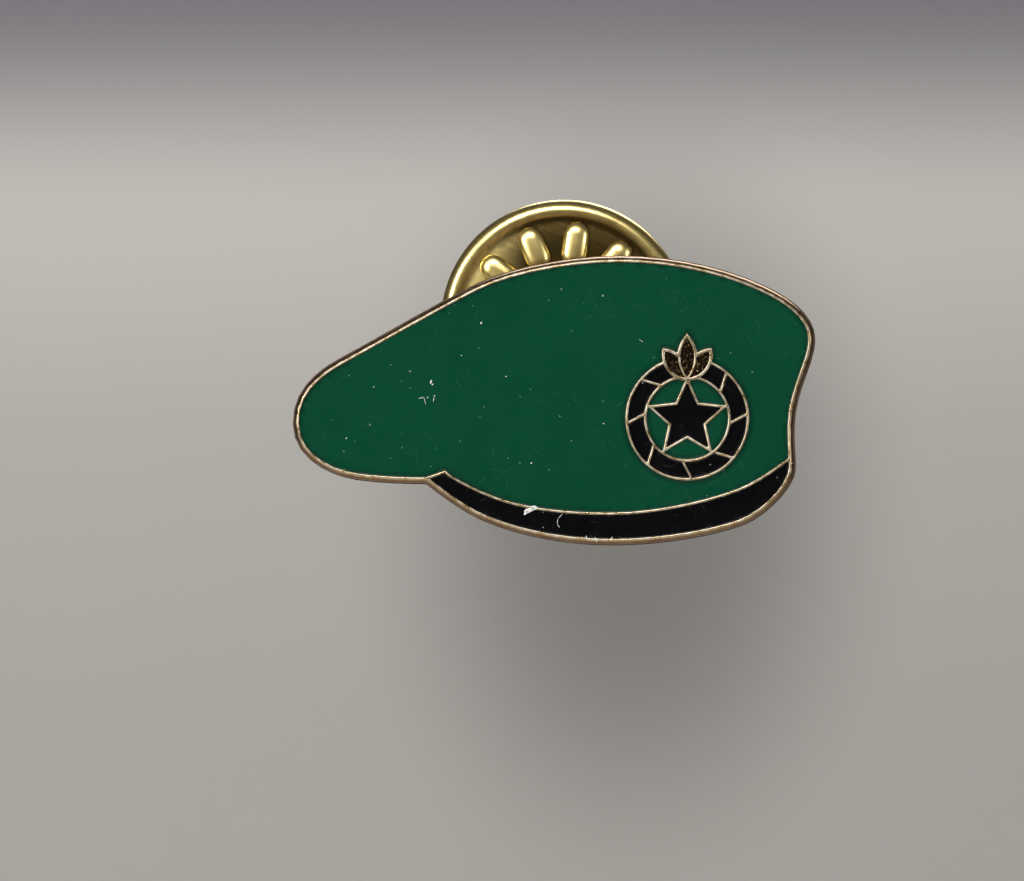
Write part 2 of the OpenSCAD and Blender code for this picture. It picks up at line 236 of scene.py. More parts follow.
def specks(tree, coords, spacing, size, share):
    """Small round dots of differing brightness, in a share of the places spacing mm apart."""
    cells = add(tree, "TexVoronoi", {"Vector": coords, "Scale": per_mm(spacing)}, "Distance")
    chance = add(tree, "SeparateColor", [cells.node.outputs["Color"]]).node.outputs
    edge = add(tree, "MapRange", [chance["Green"], 0.0, 1.0, size * 0.4 / spacing, size / spacing])
    part = add(tree, "Math", [cells, edge], operation="DIVIDE")
    inside = add(tree, "MapRange", [part, 0.6, 1.0, 1.0, 0.0])
    bright = add(tree, "MapRange", [chance["Blue"], 0.0, 1.0, 0.15, 1.0])
    chosen = add(tree, "Math", [chance["Red"], share], operation="LESS_THAN")
    shown = add(tree, "Math", [inside, bright], operation="MULTIPLY")
    return add(tree, "Math", [shown, chosen], operation="MULTIPLY")


def hairlines(tree, coords, angle, spacing, length):
    """Fine straight scratches across the face, at an angle from the level."""
    turned = add(tree, "Mapping", {"Vector": coords, "Rotation": (0, math.radians(angle), 0),
                                   "Scale": (length * MM, MM, spacing * MM)}, vector_type="TEXTURE")
    lines = add(tree, "TexNoise", {"Vector": turned, "Scale": 1.0, "Detail": 2.0})
    return add(tree, "MapRange", [lines, 0.70, 0.76])


def gilt_brass(colours):
    """Die-struck brass with thin gilt: pale and worn bright on the raised lines, copper
    brown and duller down the edge that isn't rubbed, and plain yellow brass on the back."""
    material, tree, shader, coords = new_material("gilt_die_struck_brass")
    depth = add(tree, "SeparateXYZ", [coords], "Y")
    # tarnish clouds a bit over a millimetre wide, and rubbed patches as wide as the rim
    cloudy = add(tree, "TexNoise", {"Vector": coords, "Scale": per_mm(1.3), "Detail": 4.0})
    worn = add(tree, "TexNoise", {"Vector": coords, "Scale": per_mm(0.35), "Detail": 3.0})
    rubbed = add(tree, "MapRange", [worn, 0.35, 0.7])
    top = add(tree, "Mix", {0: rubbed, 6: colours.gilt, 7: colours.gilt_worn}, 2, data_type="RGBA")
    flank = add(tree, "MapRange", [depth, (FRONT + 0.03) * MM, (FRONT + 0.07) * MM])
    brown = add(tree, "MapRange", [cloudy, 0.3, 0.7, 0.75, 1.0])
    browned = add(tree, "Math", [flank, brown], operation="MULTIPLY")
    sides = add(tree, "Mix", {0: browned, 6: top, 7: colours.copper_edge}, 2, data_type="RGBA")
    back = add(tree, "Mix", {0: cloudy, 6: colours.clutch_dull, 7: colours.gilt}, 2, data_type="RGBA")
    behind = add(tree, "MapRange", [depth, -0.5 * MM, -0.15 * MM])
    colour = add(tree, "Mix", {0: behind, 6: sides, 7: back}, 2, data_type="RGBA")
    tree.links.new(colour, shader.inputs["Base Color"])
    tree.links.new(add(tree, "MapRange", [worn, 0.3, 0.7, 0.24, 0.42]), shader.inputs["Roughness"])
    # the die's own grain is finer than this; it is drawn as coarse as it needs to show
    grain = add(tree, "TexNoise", {"Vector": coords, "Scale": per_mm(0.08), "Detail": 4.0, "Roughness": 0.6})
    struck = add(tree, "Bump", {"Height": grain, "Distance": 0.006 * MM, "Strength": 0.6})
    tree.links.new(struck, shader.inputs["Normal"])
    shader.inputs["Metallic"].default_value = 1.0
    return material


def stippled_bronze(colours):
    """The ground inside the leaves, punched with fine pits and toned dark by the plater's dip."""
    material, tree, shader, coords = new_material("stippled_dark_bronze")
    pits = add(tree, "TexNoise", {"Vector": coords, "Scale": per_mm(0.09), "Detail": 2.0})
    shine = add(tree, "MapRange", [pits, 0.57, 0.7])
    colour = add(tree, "Mix", {0: shine, 6: colours.bronze_dark, 7: colours.bronze_light}, 2,
                 data_type="RGBA")
    tree.links.new(colour, shader.inputs["Base Color"])
    tree.links.new(add(tree, "MapRange", [pits, 0.4, 0.6, 0.6, 0.35]), shader.inputs["Roughness"])
    punched = add(tree, "Bump", {"Height": pits, "Distance": 0.04 * MM, "Strength": 1.0})
    tree.links.new(punched, shader.inputs["Normal"])
    shader.inputs["Metallic"].default_value = 1.0
    return material


def soft_enamel(name, colour, dust):
    """Baked soft enamel: a deep, glossy, slightly wavy paint, with painted shade darkening
    it beside the metal walls, with hairline scratches and specks of pale dust."""
    material, tree, shader, coords = new_material(name)
    shade = add(tree, "TexNoise", {"Vector": coords, "Scale": per_mm(3.5), "Detail": 3.0})
    mottled = add(tree, "MapRange", [shade, 0.3, 0.7])
    paler = tuple(min(1.0, c * 1.1 + 0.0003) for c in colour)
    body = add(tree, "Mix", {0: mottled, 6: colour, 7: paler}, 2, data_type="RGBA")
    # painted shade: the enamel darkens within 0.3 mm of the metal walls
    inward = add(tree, "Attribute", [], "Fac", attribute_name="inward")
    clear = add(tree, "MapRange", [inward, 0.0, 0.3])
    painted_wall_shade = tuple(c * 0.45 for c in colour)
    body = add(tree, "Mix", {0: clear, 6: painted_wall_shade, 7: body}, 2, data_type="RGBA")
    # real scratches are finer; they are drawn as coarse as they need to show
    marks = hairlines(tree, coords, 64, 0.07, 1.6)
    for angle, spacing, length in ((-31, 0.06, 1.2), (12, 0.07, 2.0), (97, 0.05, 0.9)):
        more = hairlines(tree, coords, angle, spacing, length)
        marks = add(tree, "Math", [marks, more], operation="MAXIMUM")
    areas = add(tree, "TexNoise", {"Vector": coords, "Scale": per_mm(2.2), "Detail": 2.0})
    patchy = add(tree, "MapRange", [areas, 0.45, 0.65, 0.0, 0.07])
    scored = add(tree, "Math", [marks, patchy], operation="MULTIPLY")
    scratched = add(tree, "Mix", {0: scored, 6: body, 7: linear("A0ADA2")}, 2, data_type="RGBA")
    large = specks(tree, coords, 0.65, 0.07, 0.3)
    small = specks(tree, coords, 0.28, 0.036, 0.25)
    dots = add(tree, "Math", [large, small], operation="MAXIMUM")
    dusted = add(tree, "Math", [dots, dust], operation="MULTIPLY")
    colour = add(tree, "Mix", {0: dusted, 6: scratched, 7: linear("ADBCB1")}, 2, data_type="RGBA")
    tree.links.new(colour, shader.inputs["Base Color"])
    wear = add(tree, "TexNoise", {"Vector": coords, "Scale": per_mm(0.8), "Detail": 4.0})
    gloss = add(tree, "MapRange", [wear, 0.3, 0.7, 0.14, 0.23])
    matt = add(tree, "Math", [dots, 0.8], operation="MULTIPLY")
    tree.links.new(add(tree, "Math", [gloss, matt], operation="MAXIMUM"), shader.inputs["Roughness"])
    pull = add(tree, "TexNoise", {"Vector": coords, "Scale": per_mm(1.6), "Detail": 2.0})
    waves = add(tree, "Bump", {"Height": pull, "Distance": 0.006 * MM, "Strength": 0.5})
    scores = add(tree, "Bump", {"Height": marks, "Distance": 0.001 * MM, "Strength": 0.5, "Normal": waves})
    tree.links.new(scores, shader.inputs["Normal"])
    shader.inputs["Specular IOR Level"].default_value = 0.28
    return material


def recess_tarnish_and_shade(tree, coords, finish, tarnish):
    """Darkens the front of the clutch's plate between its ribs, partly tarnish in the recess
    and partly painted shade. The left side stays bright, a painted lit side."""
    place = add(tree, "SeparateXYZ", [coords]).node.outputs
    reach = add(tree, "VectorMath", [coords], "Value", operation="LENGTH")
    limits = (
        (place["Y"], (PLATE_FRONT - 0.14) * MM, (PLATE_FRONT - 0.03) * MM),
        (place["Y"], (PLATE_FRONT + 0.12) * MM, (PLATE_FRONT + 0.2) * MM, 1.0, 0.0),
        (reach, math.hypot(5.2, PLATE_FRONT) * MM, math.hypot(PLATE_EDGE, PLATE_FRONT) * MM, 1.0, 0.0),
        # painted light: the left side is left bright
        (place["X"], -4.2 * MM, -1.8 * MM),
    )
    deep, *others = [add(tree, "MapRange", limit) for limit in limits]
    for other in others:
        deep = add(tree, "Math", [deep, other], operation="MULTIPLY")
    # tarnish and painted shade between the ribs
    tarnish_and_shade = tuple(c * 0.3 for c in tarnish)
    return add(tree, "Mix", {0: deep, 6: finish, 7: tarnish_and_shade}, 2, data_type="RGBA")


def sheet_brass(name, colour, tarnish, rough, tarnish_and_shade_recess=False):
    """Pressed sheet brass: bright, with faint rolling lines, shallow dents and small
    tarnish spots."""
    material, tree, shader, coords = new_material(name)
    stain = add(tree, "TexNoise", {"Vector": coords, "Scale": per_mm(0.9), "Detail": 4.0, "Roughness": 0.6})
    spots = add(tree, "MapRange", [stain, 0.55, 0.78])
    stained = add(tree, "Math", [spots, 0.7], operation="MULTIPLY")
    finish = add(tree, "Mix", {0: stained, 6: colour, 7: tarnish}, 2, data_type="RGBA")
    # tarnish and painted shade on the plate between the ribs
    if tarnish_and_shade_recess:
        finish = recess_tarnish_and_shade(tree, coords, finish, tarnish)
    tree.links.new(finish, shader.inputs["Base Color"])
    # the mill's lines are finer; they are drawn as coarse as they need to show
    rolled = add(tree, "Mapping", {"Vector": coords, "Rotation": (0, math.radians(25), 0),
                                   "Scale": (3.0 * MM, 3.0 * MM, 0.05 * MM)}, vector_type="TEXTURE")
    lines = add(tree, "TexNoise", {"Vector": rolled, "Scale": 1.0, "Detail": 3.0})
    dull = add(tree, "MapRange", [lines, 0.3, 0.7, rough, rough + 0.06])
    tree.links.new(dull, shader.inputs["Roughness"])
    hollows = add(tree, "TexNoise", {"Vector": coords, "Scale": per_mm(1.1), "Detail": 2.0})
    dents = add(tree, "Bump", {"Height": hollows, "Distance": 0.02 * MM, "Strength": 0.4})
    milled = add(tree, "Bump", {"Height": lines, "Distance": 0.001 * MM, "Strength": 0.3, "Normal": dents})
    tree.links.new(milled, shader.inputs["Normal"])
    shader.inputs["Metallic"].default_value = 1.0
    return material


def tin_solder():
    """Soft solder: grey, slightly grainy, half dull."""
    material, tree, shader, coords = new_material("tin_solder")
    grains = add(tree, "TexNoise", {"Vector": coords, "Scale": per_mm(0.2), "Detail": 4.0})
    colour = add(tree, "Mix", {0: grains, 6: linear("8F8B84"), 7: linear("C9C5BC")}, 2, data_type="RGBA")
    tree.links.new(colour, shader.inputs["Base Color"])
    tree.links.new(add(tree, "MapRange", [grains, 0.3, 0.7, 0.4, 0.6]), shader.inputs["Roughness"])
    frosted = add(tree, "Bump", {"Height": grains, "Distance": 0.02 * MM, "Strength": 1.0})
    tree.links.new(frosted, shader.inputs["Normal"])
    shader.inputs["Metallic"].default_value = 1.0
    return material


def spring_wire():
    """Drawn spring wire: bright steel with drawing lines along it."""
    material, tree, shader, coords = new_material("drawn_spring_wire")
    drawn = add(tree, "Mapping", {"Vector": coords, "Scale": (per_mm(0.05), per_mm(0.05), per_mm(2.0))})
    lines = add(tree, "TexNoise", {"Vector": drawn, "Scale": 1.0})
    colour = add(tree, "Mix", {0: lines, 6: linear("9C9890"), 7: linear("D6D3CC")}, 2, data_type="RGBA")
    tree.links.new(colour, shader.inputs["Base Color"])
    tree.links.new(add(tree, "MapRange", [lines, 0.3, 0.7, 0.22, 0.4]), shader.inputs["Roughness"])
    shader.inputs["Metallic"].default_value = 1.0
    return material


def pale_fleck():
    """Chipped enamel and lint: chalky, almost white."""
    material, tree, shader, coords = new_material("chalky_fleck")
    grains = add(tree, "TexNoise", {"Vector": coords, "Scale": per_mm(0.1), "Detail": 3.0})
    colour = add(tree, "Mix", {0: grains, 6: linear("B9C0B8"), 7: linear("F1F0EA")}, 2, data_type="RGBA")
    tree.links.new(colour, shader.inputs["Base Color"])
    chalky = add(tree, "Bump", {"Height": grains, "Distance": 0.01 * MM, "Strength": 1.0})
    tree.links.new(chalky, shader.inputs["Normal"])
    shader.inputs["Roughness"].default_value = 0.75
    return material


def card_with_painted_shade(colour):
    """Plain pale card, dead matt with a faint tooth. Painted shade darkens it towards the
    top, and a painted soft shadow lies under the badge. Places are in metres."""
    material, tree, shader, coords = new_material("pale_card_painted_shade")
    place = add(tree, "SeparateXYZ", [coords]).node.outputs
    # painted shade: darker towards the top
    high = add(tree, "MapRange", [place["Z"], 0.016, 0.0375], interpolation_type="SMOOTHSTEP")
    darker = tuple(c * k for c, k in zip(colour, (0.36, 0.355, 0.42)))
    top_shaded_card = add(tree, "Mix", {0: high, 6: colour, 7: darker}, 2, data_type="RGBA")
    # painted light falloff: darker downwards, at two rates, and to the right
    light, *others = [add(tree, "MapRange", fall) for fall in (
        (place["Z"], 0.013, -0.004, 0.97, 0.83),
        (place["Z"], -0.004, -0.03, 1.0, 0.92),
        (place["X"], -0.063, 0.023, 1.0, 0.91),
    )]
    for other in others:
        light = add(tree, "Math", [light, other], operation="MULTIPLY")
    # a painted oval soft shadow: each axis with its middle, turned in sign, and its half width
    squares = []
    for axis, middle, reach in (("X", 0.0086, 0.027), ("Z", 0.0113, 0.038)):
        aside = add(tree, "Math", [place[axis], middle], operation="ADD")
        part = add(tree, "Math", [aside, 1 / reach], operation="MULTIPLY")
        squares.append(add(tree, "Math", [part, part], operation="MULTIPLY"))
    away = add(tree, "Math", [add(tree, "Math", squares, operation="ADD")], operation="SQRT")
    lit = add(tree, "MapRange", [away, 0.2, 1.1, 0.5, 1.0], interpolation_type="SMOOTHSTEP")
    share = add(tree, "Math", [lit, light], operation="MULTIPLY")
    # the card dimmed by the painted falloff and the painted shadow
    painted_shade_card = add(tree, "VectorMath", {0: top_shaded_card, "Scale": share}, operation="SCALE")
    tree.links.new(painted_shade_card, shader.inputs["Base Color"])
    shader.inputs["Roughness"].default_value = 0.9
    tooth = add(tree, "TexNoise", {"Vector": coords, "Scale": per_mm(0.7), "Detail": 3.0})
    rough = add(tree, "Bump", {"Height": tooth, "Distance": 0.02 * MM, "Strength": 0.3})
    tree.links.new(rough, shader.inputs["Normal"])
    return material


# ---------------------------------------------------------------- settings

class BadgeSizes(bpy.types.PropertyGroup):
    """Sizes of the badge's finer shapes."""

    line_round: bpy.props.FloatProperty(
        name="Line rounding", description="How far the raised lines' crown reaches in from each edge, in mm",
        default=0.036, min=0.01, max=0.045)
    line_rise: bpy.props.FloatProperty(
        name="Line crown", description="Height of the raised lines' crown, in mm",
        default=0.03, min=0.01, max=0.04)
    meniscus: bpy.props.FloatProperty(
        name="Enamel meniscus", description="How far the enamel creeps up where it wets the metal, in mm",
        default=0.025, min=0.0, max=0.05)
    sheet_round: bpy.props.FloatProperty(
        name="Sheet edge rounding", description="Rounding on the clutch's cut edges, in mm",
        default=0.05, min=0.01, max=0.1)
    rib_dome: bpy.props.FloatProperty(
        name="Rib dome", description="Height of the rounded top of the clutch's embossed ribs, in mm",
        default=0.3, min=0.05, max=0.32)
    camera_turn: bpy.props.FloatProperty(
        name="Camera turn", description="How far the camera stands round to the right of the face",
        default=math.radians(2.5), subtype="ANGLE")
    view_width: bpy.props.FloatProperty(
        name="View width", description="Width of the picture at the badge's face",
        default=0.0489, unit="LENGTH", precision=4)


def colour_property(name, description, code):
    return bpy.props.FloatVectorProperty(
        name=name, description=description, default=linear(code), subtype="COLOR", size=3, min=0, max=1)


class BadgeColours(bpy.types.PropertyGroup):
    """Colours of the badge's finishes."""

    green: colour_property("Crown green", "Green enamel of the crown", "063F2A")
    black: colour_property("Black", "Black enamel of the headband and the emblem", "060507")
    gilt: colour_property("Gilt", "Gilt on the raised lines", "C6AD80")
    gilt_worn: colour_property("Worn gilt", "Gilt rubbed pale", "EDE0C8")
    copper_edge: colour_property("Copper edge", "Brown of the rounded edge", "7E5B36")
    bronze_dark: colour_property("Dark bronze", "Toned ground inside the leaves", "2E241C")
    bronze_light: colour_property("Light bronze", "Rubbed points of the stipple", "C9AE78")
    clutch: colour_property("Clutch brass", "Bright brass of the clutch", "F0D88C")
    clutch_dull: colour_property("Tarnish", "Tarnish spots on the brass", "9A8048")
    card: colour_property("Backdrop", "Pale card behind and below the badge", "F0ECE6")


class BadgeOperator:
    """What the badge's operators share."""

    bl_options = {"REGISTER", "UNDO"}

    @property
    def sizes(self):
        return bpy.context.scene.badge_sizes

    @property
    def colours(self):
        return bpy.context.scene.badge_colours


# ---------------------------------------------------------------- the badge

class BADGE_OT_blank(BadgeOperator, bpy.types.Operator):
    """Model the struck blank with its rounded rim, lines and stippled leaves"""

    bl_idname = "badge.blank"
    bl_label = "Struck Blank"

    def execute(self, context):
        piece = copy_of("badge_blank", "struck_blank")

        around, above = 3.4, 4.6            # from the ring's middle to clear of the ring and the sprig

        def in_emblem(co):
            return abs(co.x - EMBLEM.x) < around and -around < co.z - EMBLEM.z < above

        self.crown_lines(piece)
        # the stepped edge gives way to one slope
        choose(piece, "VERT", lambda v: STAIR_FROM < v.co.y < FLOOR - 0.01 and not in_emblem(v.co))
        bpy.ops.mesh.delete(type="VERT")
        choose(piece, "EDGE", lambda e: len(e.link_faces) == 1)
        bpy.ops.mesh.bridge_edge_loops()
        bpy.ops.mesh.normals_make_consistent(inside=False)
        self.round_flank(piece)
        self.part_stipple(piece, in_emblem)
        finish_piece(piece, "badge", gilt_brass(self.colours), ["badge_blank"], 40)
        return {"FINISHED"}

    def round_flank(self, piece):
        """Swells the slope between the rim's top and the side into a quarter round."""
        low, foot = FRONT + self.sizes.line_rise, SIDE
        drop, out, cuts = foot - low, 0.22, 6
        flat, curved = 0.25, 0.75           # how much of the slope's fall is straight and how much round

        def slope(face):
            return -0.97 < face.normal.y < -0.2 and min(v.co.y for v in face.verts) > low - 0.002

        for k in range(1, cuts):
            choose(piece, "FACE", slope)
            bpy.ops.mesh.bisect(plane_co=(0, low + drop * k / cuts, 0), plane_no=(0, 1, 0))

        def on_slope(vertex):
            return low + 0.01 < vertex.co.y < foot - 0.01 and all(map(slope, vertex.link_faces))

        def swell(vertex):
            part = (vertex.co.y - low) / drop
            turn = part * math.pi / 2
            side = Vector((vertex.normal.x, 0, vertex.normal.z)).normalized()
            spot = vertex.co + side * (math.sin(turn) - part) * out
            spot.y = low + drop * (flat * part + curved * (1 - math.cos(turn)))
            return spot

        move_points(piece, on_slope, swell)

    def crown_lines(self, piece):
        """Crowns the tops of the raised lines and of the rim. They end a little sunk,
        which leaves room for the chips that lie on them."""
        def top(face):
            return face.normal.y < -0.99 and face.calc_center_median().y < LINE_LIMIT

        rise, width, steps, sink = self.sizes.line_rise, self.sizes.line_round, 4, 0.01
        choose(piece, "FACE", top)
        bpy.ops.transform.translate(value=(0, rise + sink, 0))
        for k in range(steps):
            here, there = (math.pi / 2 * (n / steps) for n in (k, k + 1))
            choose(piece, "FACE", top)
            bpy.ops.mesh.inset(thickness=width * (math.cos(here) - math.cos(there)),
                               depth=rise * (math.sin(there) - math.sin(here)),
                               use_boundary=True, use_even_offset=True)

    def part_stipple(self, piece, in_emblem):
        """Parts the ground inside the leaves from the blank, and gives it its pitted surface."""
        choose(piece, "FACE", lambda f: f.normal.y < -0.9 and in_emblem(f.calc_center_median())
               and FRONT + 0.06 < f.calc_center_median().y < ENAMEL + 0.2
               and f.calc_center_median().y < FLOOR - 0.05)
        bpy.ops.mesh.duplicate()
        bpy.ops.mesh.separate(type="SELECTED")
        ground = next(o for o in bpy.context.selected_objects if o is not piece)
        ground.name = "stippled_leaves"
        edit(ground)
        refine(ground, lambda f: True, 0.06, 6)
        rng = random.Random(7)
        move_points(ground, lambda v: True, lambda v: v.co - Vector(
            (0, 0.004 if v.is_boundary else rng.uniform(0.005, 0.06), 0)))
        finish_piece(ground, "badge", stippled_bronze(self.colours), (), 20)
        edit(piece)


class BADGE_OT_enamels(BadgeOperator, bpy.types.Operator):
    """Model the enamel of the crown, headband, star, ring and windows"""

    bl_idname = "badge.enamels"
    bl_label = "Enamels"

    def execute(self, context):
        green = soft_enamel("green_soft_enamel", self.colours.green, 0.6)
        black = soft_enamel("black_soft_enamel", self.colours.black, 0.6)
        for node in ["crown_enamel", *WINDOWS]:
            self.fill(node, "green_enamel", green)
        for node in ["headband_enamel", "star_enamel", *RING]:
            self.fill(node, "black_enamel", black)
        return {"FINISHED"}

    def fill(self, node, slot, material):
        """One cell's enamel, which creeps up a little where it wets the metal."""
        piece = copy_of(node, node.replace("enamel", "fill"))

        def front(face):
            return face.normal.y < -0.99

        # both rings stay inside the cells' 0.05 mm corner radius, or they would cross themselves
        for width, share in ((0.018, 0.6), (0.02, 0.4)):
            choose(piece, "FACE", front)
            bpy.ops.mesh.inset(thickness=width, depth=-self.sizes.meniscus * share, use_boundary=True,
                               use_even_offset=True)
        refine(piece, front, 0.35, 7)
        # the distance to the metal wall, which the enamel's painted shade reads
        mesh = bmesh.from_edit_mesh(piece.data)
        wall = [v.co.copy() for v in mesh.verts if v.co.y < ENAMEL + 0.002]
        tree = KDTree(len(wall))
        for number, spot in enumerate(wall):
            tree.insert(spot, number)
        tree.balance()
        inward = mesh.verts.layers.float.new("inward")
        for vertex in mesh.verts:
            vertex[inward] = tree.find(vertex.co)[2] if vertex.co.y < ENAMEL + 0.1 else 0.0
        bmesh.update_edit_mesh(piece.data)
        finish_piece(piece, "badge", material, [node], 60)


class BADGE_OT_post(BadgeOperator, bpy.types.Operator):
    """Model the tack post and the solder round its head"""

    bl_idname = "badge.post"
    bl_label = "Tack Post"

    def execute(self, context):
        brass = sheet_brass("turned_post_brass", linear("E0C27A"), linear("8E7438"), 0.2)
        post = copy_of("tack_post", "turned_post")
        round_edges(post, lambda e: sharp(e, 40) and min(v.co.y for v in e.verts) > 0.1, 0.03, 2)
        finish_piece(post, "badge", brass, ["tack_post"], 35)
        fillet = copy_of("solder_fillet", "solder_ring")
        bpy.ops.mesh.quads_convert_to_tris()
        bpy.ops.mesh.subdivide(number_cuts=1)
        rng = random.Random(3)
        mesh = bmesh.from_edit_mesh(fillet.data)
        for vertex in mesh.verts:
            if vertex.co.y > 0.03:
                vertex.co.y += rng.uniform(-0.02, 0.02)
        bmesh.update_edit_mesh(fillet.data)
        finish_piece(fillet, "badge", tin_solder(), ["solder_fillet"], 80)
        return {"FINISHED"}


class BADGE_OT_flecks(BadgeOperator, bpy.types.Operator):
    """Scatter the chip, the scuffs and the lint that lie on the enamel"""

    bl_idname = "badge.flecks"
    bl_label = "Wear Flecks"

    # each fleck: middle in x and z, length, width, and its angle from the level
    FLECKS = (
        (-6.15, -2.85, 0.22, 0.10, 70), (-6.08, -2.98, 0.12, 0.06, 10),
        (-6.45, -3.75, 0.42, 0.03, -75), (-6.62, -3.62, 0.30, 0.035, 15),
        (-6.30, -3.60, 0.16, 0.03, 40), (-6.02, -3.68, 0.24, 0.03, 82),
        (-5.98, -3.52, 0.10, 0.05, 20), (-7.15, -2.35, 0.12, 0.03, -35),
        (-3.75, -0.05, 0.12, 0.09, 60), (-2.55, -2.6, 0.09, 0.05, 0),
        (3.9, -0.9, 0.28, 0.02, -38), (-10.2, -5.55, 0.10, 0.06, 30),
        (-1.35, -6.75, 0.09, 0.07, 45), (2.1, -4.85, 0.09, 0.05, 15),
        (0.04, -9.27, 0.34, 0.025, 48), (-0.10, -9.52, 0.26, 0.03, 84), (-0.05, -9.74, 0.2, 0.03, -50),
        (0.2, -9.08, 0.24, 0.02, 30), (-4.7, -1.6, 0.07, 0.05, 10), (-8.9, -3.1, 0.08, 0.05, 50),
    )
    # the chip across the metal line, as three overlapping flakes, and nicks on the rim
    CHIP = ((-1.44, -8.98, 0.58, 0.22, 20), (-1.22, -8.86, 0.36, 0.2, -12), (-1.6, -9.12, 0.3, 0.12, 42),
            (1.28, -10.28, 0.16, 0.05, 80), (1.74, -10.4, 0.26, 0.05, 112), (2.5, -10.36, 0.22, 0.05, 84))

    def execute(self, context):
        flecks = [self.fleck(*f, ENAMEL + 0.03) for f in self.FLECKS]
        for chip in self.CHIP:
            flecks.append(self.fleck(*chip, FRONT + 0.021))
        only(*flecks)
        bpy.ops.object.join()
        piece = bpy.context.active_object
        piece.name = "pale_flecks"
        finish_piece(piece, "badge", pale_fleck(), (), 50)
        return {"FINISHED"}

    def fleck(self, x, z, length, width, angle, y):
        """A thin ragged flake that lies on the face."""
        bpy.ops.mesh.primitive_circle_add(vertices=9, radius=0.5, fill_type="NGON", location=(0, 0, 0),
                                          rotation=(math.pi / 2, 0, 0))
        flake = bpy.context.active_object
        bpy.ops.object.transform_apply(location=False, rotation=True, scale=False)
        edit(flake)
        bpy.ops.transform.vertex_random(offset=0.16, seed=int(abs(x * 100)))
        bpy.ops.transform.resize(value=(length, 0, width), center_override=(0, 0, 0))
        choose(flake, "FACE", lambda f: True)
        bpy.ops.mesh.extrude_region_move(TRANSFORM_OT_translate={"value": (0, -0.02, 0)})
        bpy.ops.transform.resize(value=(0.8, 1, 0.8))
        edit(flake)
        bpy.ops.mesh.normals_make_consistent(inside=False)
        only(flake)
        flake.rotation_euler = (0, math.radians(-angle), 0)
        flake.location = (x, y, z)
        bpy.ops.object.transform_apply(location=True, rotation=True, scale=True)
        return flake


# ---------------------------------------------------------------- the clutch

class BADGE_OT_clutch_base(BadgeOperator, bpy.types.Operator):
    """Model the clutch's pressed base with its ribs and rolled bead"""

    bl_idname = "badge.clutch_base"
    bl_label = "Clutch Base"

    def execute(self, context):
        piece = copy_of("clutch_base", "pressed_base")
        dome, spread, steps = self.sizes.rib_dome, 0.58, 8
        dish_from, dish_to, dish_rate = 3.6, 5.0, 0.05      # mm, mm, and mm per square mm
        deepest = dish_rate * (dish_to - dish_from) ** 2

        def rib_top(face):
            return face.normal.y < -0.99 and all(v.co.y < PLATE_FRONT - 0.02 for v in face.verts) and \
                face.calc_center_median().xz.length < 5.05

        choose(piece, "FACE", rib_top)
        bpy.ops.transform.translate(value=(0, dome, 0))
        for k in range(steps):
            here, there = (math.pi / 2 * (n / steps) for n in (k, k + 1))
            choose(piece, "FACE", rib_top)
            bpy.ops.mesh.inset(thickness=spread * (math.cos(here) - math.cos(there)),
                               depth=dome * (math.sin(there) - math.sin(here)),
                               use_individual=True, use_even_offset=True)

        refine(piece, lambda f: f.calc_center_median().xz.length < 5.5 and f.normal.y < -0.995, 0.3, 6)

        def dish(vertex):
            """The plate falls away towards the bead, which stands proud of it."""
            reach = vertex.co.xz.length
            if reach < dish_to:
                return vertex.co + Vector((0, dish_rate * (reach - dish_from) ** 2, 0))
            back = (reach - dish_to) / (PLATE_EDGE - dish_to) * math.pi
            return vertex.co + Vector((0, deepest / 2 * (1 + math.cos(back)), 0))

        move_points(piece, lambda v: dish_from < v.co.xz.length < PLATE_EDGE
                    and v.co.y < PLATE_FRONT + SHEET + 0.02, dish)
        brass = sheet_brass("pressed_clutch_brass", self.colours.clutch, self.colours.clutch_dull, 0.28, True)
        finish_piece(piece, "clutch", brass, ["clutch_base"], 40)
        return {"FINISHED"}


class BADGE_OT_bridge(BadgeOperator, bpy.types.Operator):
    """Model the bridge on the back of the clutch and the spring wire under it"""

    bl_idname = "badge.bridge"
    bl_label = "Bridge and Spring"

    def execute(self, context):
        bridge = copy_of("clutch_bridge", "bent_bridge")
        round_edges(bridge, lambda e: sharp(e, 40), self.sizes.sheet_round, 3)
        brass = sheet_brass("bent_bridge_brass", self.colours.clutch, self.colours.clutch_dull, 0.22)
        finish_piece(bridge, "clutch", brass, ["clutch_bridge"], 35)
        steel = spring_wire()
        bottom = box_mm("clutch_spring")[0].z
        start, end = (Vector((0, 0, bottom + rise)) for rise in (0.42, 0.86))
        # the spring is cut into two legs, one on each side
        legs = {side: copy_of("clutch_spring", f"spring_leg_{side}") for side in ("left", "right")}
        for (side, leg), way in zip(legs.items(), (-1, 1)):
            edit(leg)
            round_edges(leg, lambda e: sharp(e, 60), 0.05, 3)
            bpy.ops.mesh.select_all(action="SELECT")
            bpy.ops.mesh.bisect(plane_co=(0, 0, 0), plane_no=(way, 0, 0), use_fill=True, clear_inner=True)
            finish_piece(leg, "clutch", steel, ["clutch_spring"], 50,
                         (f"{side}_wing", start, end))
        return {"FINISHED"}


class BADGE_OT_wings(BadgeOperator, bpy.types.Operator):
    """Model the two wings that are pinched to open the clutch"""

    bl_idname = "badge.wings"
    bl_label = "Wings"

    def execute(self, context):
        brass = sheet_brass("pressed_wing_brass", self.colours.clutch, self.colours.clutch_dull, 0.18)
        for side in ("left", "right"):
            wing = copy_of(f"wing_{side}", f"pinch_wing_{side}")
            round_edges(wing, lambda e: sharp(e, 45), self.sizes.sheet_round, 3)
            finish_piece(wing, f"{side}_wing", brass, [f"wing_{side}"], 35)
        return {"FINISHED"}


# ---------------------------------------------------------------- the stage

